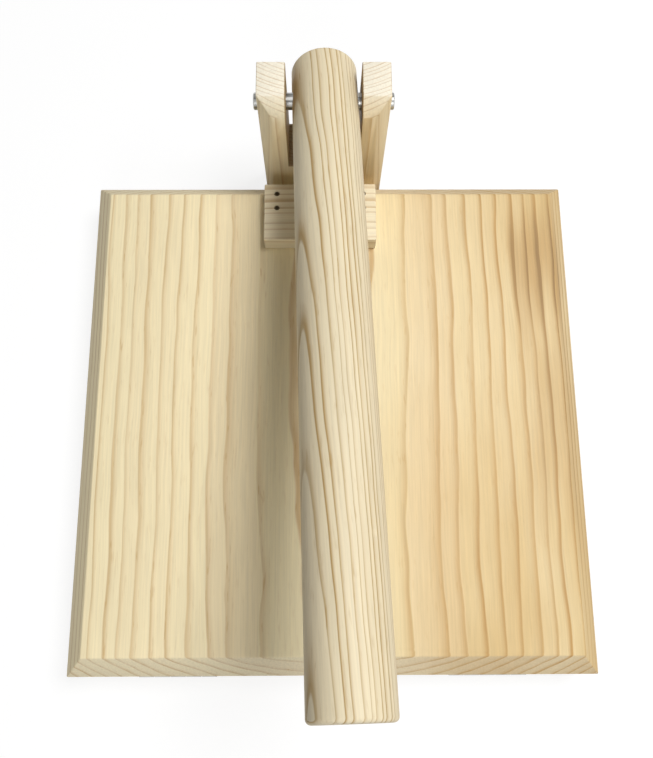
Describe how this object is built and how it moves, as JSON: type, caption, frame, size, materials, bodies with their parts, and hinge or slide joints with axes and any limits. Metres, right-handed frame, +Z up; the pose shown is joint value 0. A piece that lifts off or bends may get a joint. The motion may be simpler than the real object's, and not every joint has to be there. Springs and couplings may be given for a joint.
{
  "type": "wooden tortilla press",
  "caption": "Wooden tortilla press: square pine boards hinged at the front, with a round lever on a steel pin in a slotted bracket that presses a block on the top board.",
  "frame": {"origin": "middle of the base board's underside, under the middle of the top board", "axes": "+Z up, +X to the right, hinges and grip at -Y, lever bracket at +Y"},
  "size_m": [0.254, 0.292, 0.1569],
  "materials": {
    "board_pine": "bare planed pine, growth lines from front to back",
    "bracket_pine": "bare pine, upright grain",
    "block_pine": "bare pine, grain from side to side",
    "lever_pine": "bare turned pine",
    "pin_steel": "bright drawn steel",
    "screw_steel": "zinc plated",
    "nail_steel": "dark bare steel",
    "hinge_steel": "zinc plated"
  },
  "bodies": {
    "base": {"base_board": "board_pine", "lever_bracket": "bracket_pine", "bracket_screws": "screw_steel", "left_hinge_lower_leaf": "hinge_steel", "left_hinge_pin": "hinge_steel", "left_hinge_lower_screws": "screw_steel", "right_hinge_lower_leaf": "hinge_steel", "right_hinge_pin": "hinge_steel", "right_hinge_lower_screws": "screw_steel"},
    "lid": {"top_board": "board_pine", "strike_block": "block_pine", "block_nails": "nail_steel", "left_hinge_upper_leaf": "hinge_steel", "left_hinge_upper_screws": "screw_steel", "right_hinge_upper_leaf": "hinge_steel", "right_hinge_upper_screws": "screw_steel"},
    "pin": {"pivot_pin": "pin_steel"},
    "lever": {"lever": "lever_pine"}
  },
  "joints": [
    {"name": "lid_hinge", "type": "hinge", "parent": "base", "child": "lid", "pos_m": [0, -0.1256, 0.0205], "axis": [1, 0, 0], "range_deg": [0, 60]},
    {"name": "lever_swing", "type": "hinge", "parent": "base", "child": "pin", "pos_m": [-0.0037, 0.1405, 0.0905], "axis": [-1, 0, 0], "range_deg": [0, 180]},
    {"name": "lever_press", "type": "hinge", "parent": "pin", "child": "lever", "pos_m": [-0.0037, 0.1405, 0.0905], "axis": [-1, 0, 0], "range_deg": [-17.8, 0]}
  ],
  "couplings": [
    {"joint": "lever_swing", "follows": "lid_hinge", "ratio": 3}
  ]
}
